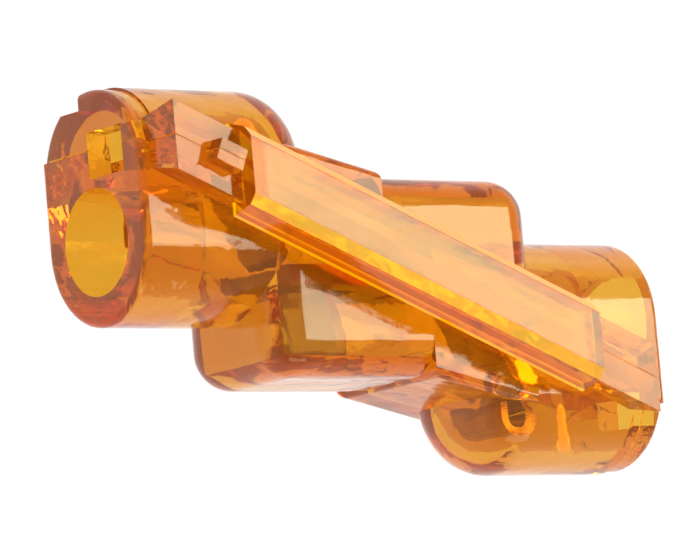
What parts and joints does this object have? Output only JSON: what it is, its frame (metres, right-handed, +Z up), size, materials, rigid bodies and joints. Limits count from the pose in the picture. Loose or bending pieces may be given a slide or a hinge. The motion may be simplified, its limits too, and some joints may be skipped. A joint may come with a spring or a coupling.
{
  "type": "in-line spring-clamp wire splice",
  "caption": "Clear amber in-line splice that joins two wires end to end: each is pushed into a port and gripped by a leaf spring against a bus bar.",
  "frame": {"origin": "on the surface that the splice lies on, straight below the centre of the shell", "axes": "+X along both wires, from the left port to the right port; +Y across the wires in the plane of the springs; +Z up, out through the locking rail"},
  "size_m": [0.026, 0.0158, 0.0099],
  "materials": {
    "amber_shell": "clear amber polycarbonate, polished",
    "amber_rail": "clear amber polycarbonate, polished",
    "tinned_copper": "tin-plated copper",
    "spring_steel": "stainless spring strip"
  },
  "bodies": {
    "shell": {"housing_left": "amber_shell", "housing_right": "amber_shell", "bus_bar": "tinned_copper", "spring_clip_left": "spring_steel", "spring_clip_right": "spring_steel"},
    "rail": {"locking_rail": "amber_rail"},
    "finger_left": {"spring_finger_left": "spring_steel"},
    "finger_right": {"spring_finger_right": "spring_steel"}
  },
  "joints": [
    {"name": "rail_slide", "type": "slide", "parent": "shell", "child": "rail", "axis": [0.9239, -0.3827, 0], "range_m": [0, 0.0225]},
    {"name": "finger_left_flex", "type": "hinge", "parent": "shell", "child": "finger_left", "pos_m": [-0.0071, 0.0053, 0.0038], "axis": [0, 0, 1], "range_deg": [0, 28], "stiffness_Nm_per_rad": 0.02},
    {"name": "finger_right_flex", "type": "hinge", "parent": "shell", "child": "finger_right", "pos_m": [0.0071, -0.0053, 0.0038], "axis": [0, 0, 1], "range_deg": [0, 28], "stiffness_Nm_per_rad": 0.02}
  ]
}
